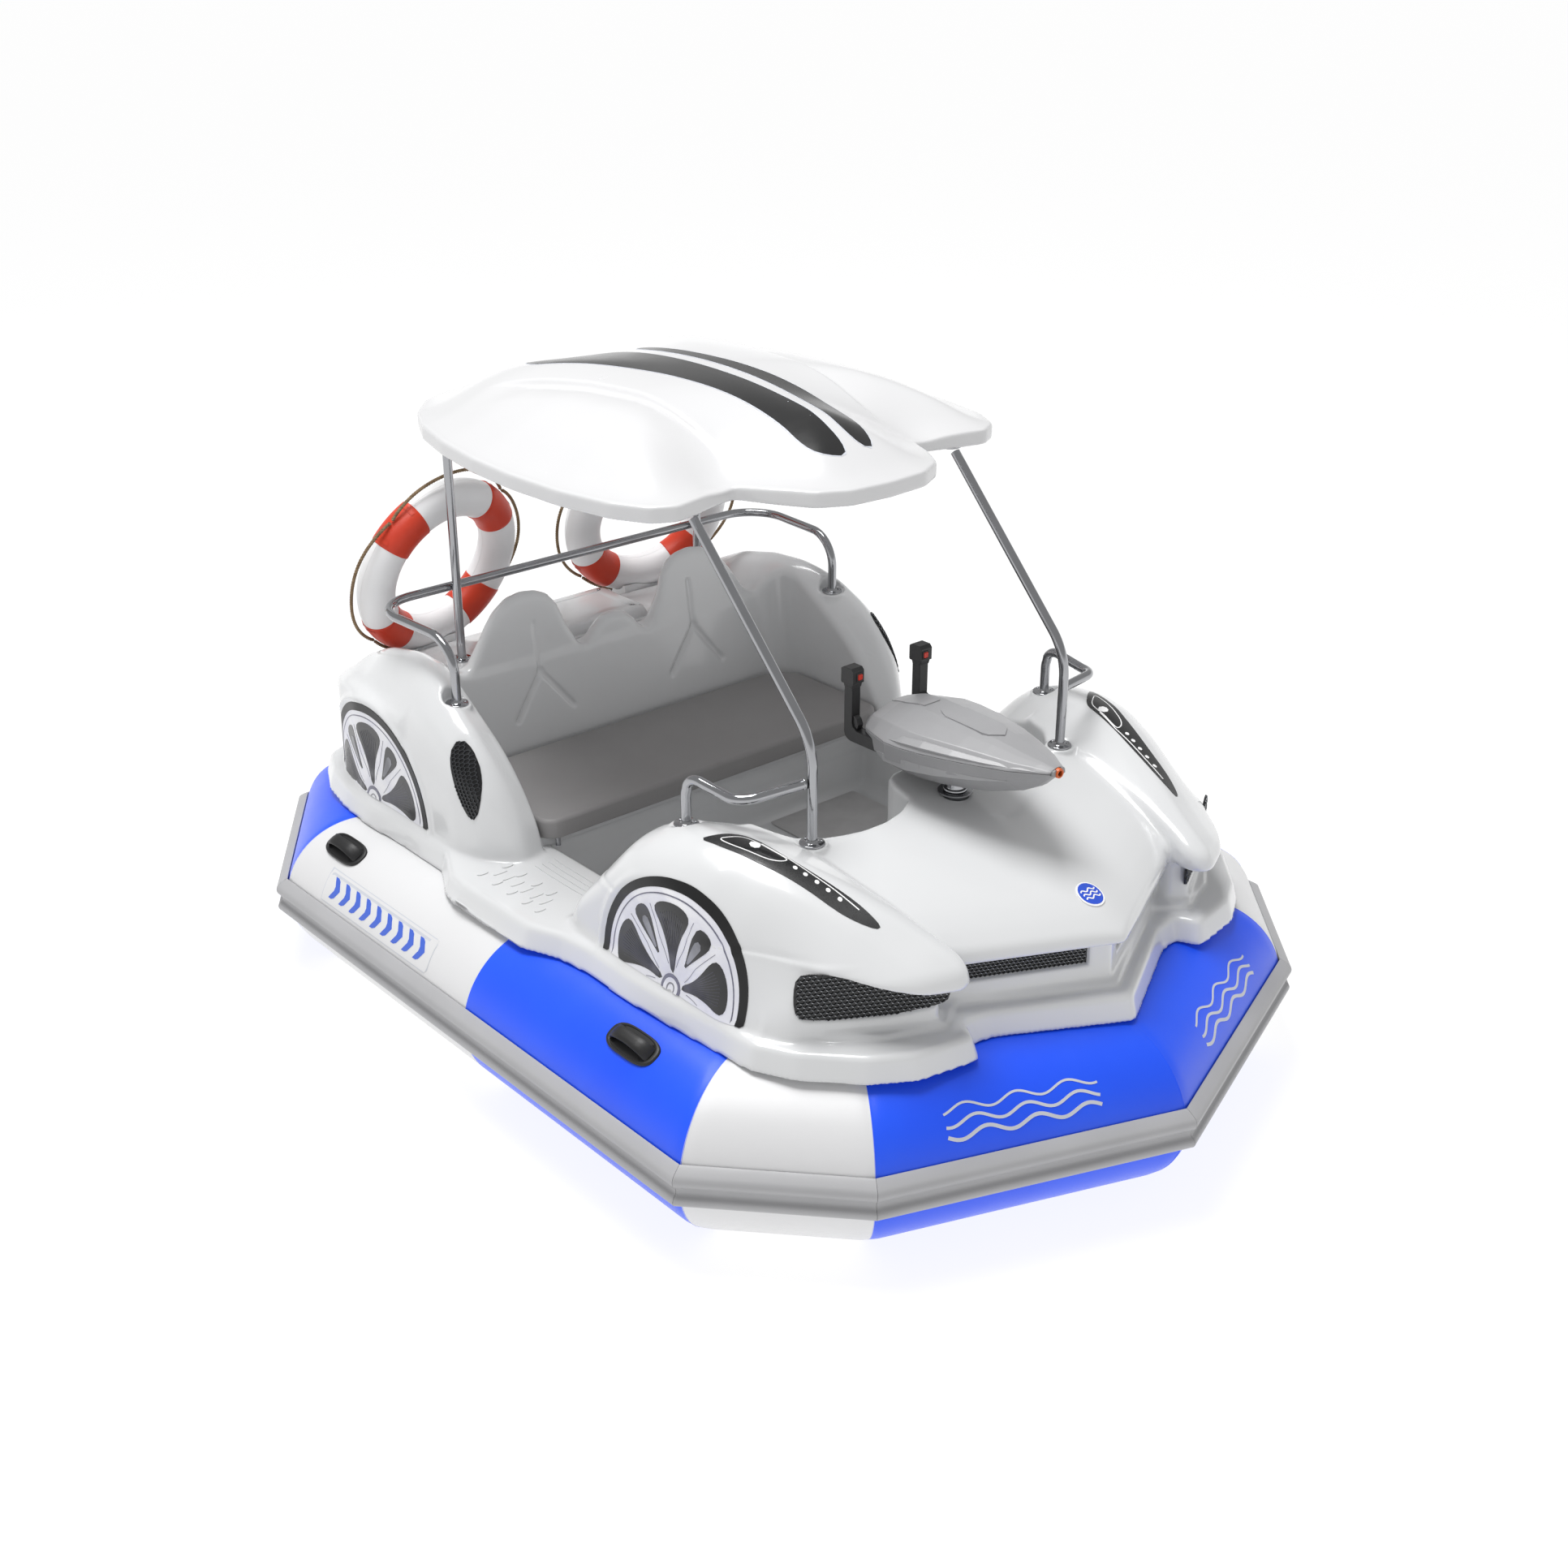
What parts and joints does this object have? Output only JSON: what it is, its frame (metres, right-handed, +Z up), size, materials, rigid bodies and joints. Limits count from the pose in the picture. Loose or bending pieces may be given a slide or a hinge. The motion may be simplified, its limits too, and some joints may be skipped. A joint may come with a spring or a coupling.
{
  "type": "electric bumper boat",
  "caption": "Electric leisure bumper boat: faceted inflatable collar, car-shaped moulded body with bench seat, swivelling steering console, canopy on pipe posts and life rings.",
  "frame": {"origin": "under the middle of the overall box, on the plane the keel skids and collar rest on", "axes": "+Z up, +Y towards the stern, -Y towards the bow, -X towards starboard"},
  "size_m": [2.09, 2.9019, 1.679],
  "materials": {
    "frp_white": "gloss",
    "frp_grey": "satin",
    "frp_hull": "satin",
    "console_grey": "satin",
    "seat_grey": "satin",
    "black_plastic": "satin",
    "black_mesh": "satin",
    "black_rubber": "matte",
    "mat_rubber": "matte",
    "pvc_blue": "satin",
    "pvc_white": "satin",
    "rail_grey": "satin",
    "wheel_print": "gloss",
    "badge": "gloss",
    "stainless": "polished",
    "aluminium": "satin",
    "black_metal": "satin",
    "ring_white": "satin",
    "ring_orange": "satin",
    "rope": "matte",
    "button_red": "gloss"
  },
  "bodies": {
    "hull": {"hull_pan": "frp_hull", "drain_plug": "black_plastic", "deck_flange": "frp_white", "cockpit_tub": "frp_grey", "floor_mats": "mat_rubber", "hood_panel": "frp_white", "front_fenders": "frp_white", "rear_fenders": "frp_white", "seat_back": "frp_grey", "seat_riser": "frp_grey", "rear_deck": "frp_white", "charge_socket": "black_plastic", "motor_hatch": "frp_white", "air_tube_front": "pvc_blue", "air_tube_sides": "pvc_white", "air_tube_rear": "pvc_blue", "rub_rail": "rail_grey", "handle_patches": "black_rubber", "handle_grips": "black_rubber", "air_valves": "black_plastic", "wheel_covers": "wheel_print", "tyre_rings": "black_plastic", "side_vents": "black_mesh", "front_grilles": "black_mesh", "centre_grille": "black_mesh", "headlight_panels": "black_plastic", "nose_badge": "badge", "front_posts": "stainless", "rear_posts": "stainless", "rear_grab_rail": "stainless", "front_loops": "stainless", "pipe_flanges": "stainless", "flange_screws": "stainless", "canopy_shell": "frp_white", "life_ring_stbd": "ring_white", "life_ring_port": "ring_white", "ring_bands": "ring_orange", "ring_ropes": "rope", "ring_cradles": "frp_white", "column_bearing": "stainless", "thruster_bracket": "aluminium", "battery_packs": "black_plastic", "motor_controller": "aluminium"},
    "console": {"console_column": "stainless", "pod_lower_shell": "console_grey", "pod_upper_shell": "console_grey", "nose_nozzle": "ring_orange", "levers": "black_plastic"},
    "button_stbd": {"button_stbd": "button_red"},
    "button_port": {"button_port": "button_red"},
    "seat_lid": {"seat_cushion": "seat_grey", "seat_pegs": "stainless"},
    "thruster": {"thruster_leg": "stainless", "thruster_motor": "black_metal", "skeg": "aluminium"},
    "propeller": {"propeller": "black_plastic"}
  },
  "joints": [
    {"name": "console_swivel", "type": "hinge", "parent": "hull", "child": "console", "pos_m": [0, -0.645, 0.8], "axis": [0, 0, 1], "range_deg": [-45, 45]},
    {"name": "thruster_steer", "type": "hinge", "parent": "hull", "child": "thruster", "pos_m": [0, 0.82, 0.3], "axis": [0, 0, 1], "range_deg": [-45, 45]},
    {"name": "propeller_spin", "type": "hinge", "parent": "thruster", "child": "propeller", "pos_m": [0, 0.93, 0.14], "axis": [0, 1, 0], "continuous": true},
    {"name": "button_stbd_press", "type": "slide", "parent": "console", "child": "button_stbd", "axis": [0, 1, 0], "range_m": [0, 0.0025], "stiffness_N_per_m": 400},
    {"name": "button_port_press", "type": "slide", "parent": "console", "child": "button_port", "axis": [0, 1, 0], "range_m": [0, 0.0025], "stiffness_N_per_m": 400},
    {"name": "seat_lift", "type": "slide", "parent": "hull", "child": "seat_lid", "axis": [0, 0, 1], "range_m": [0, 0.15]}
  ],
  "couplings": [
    {"joint": "console_swivel", "follows": "thruster_steer", "ratio": 1}
  ]
}
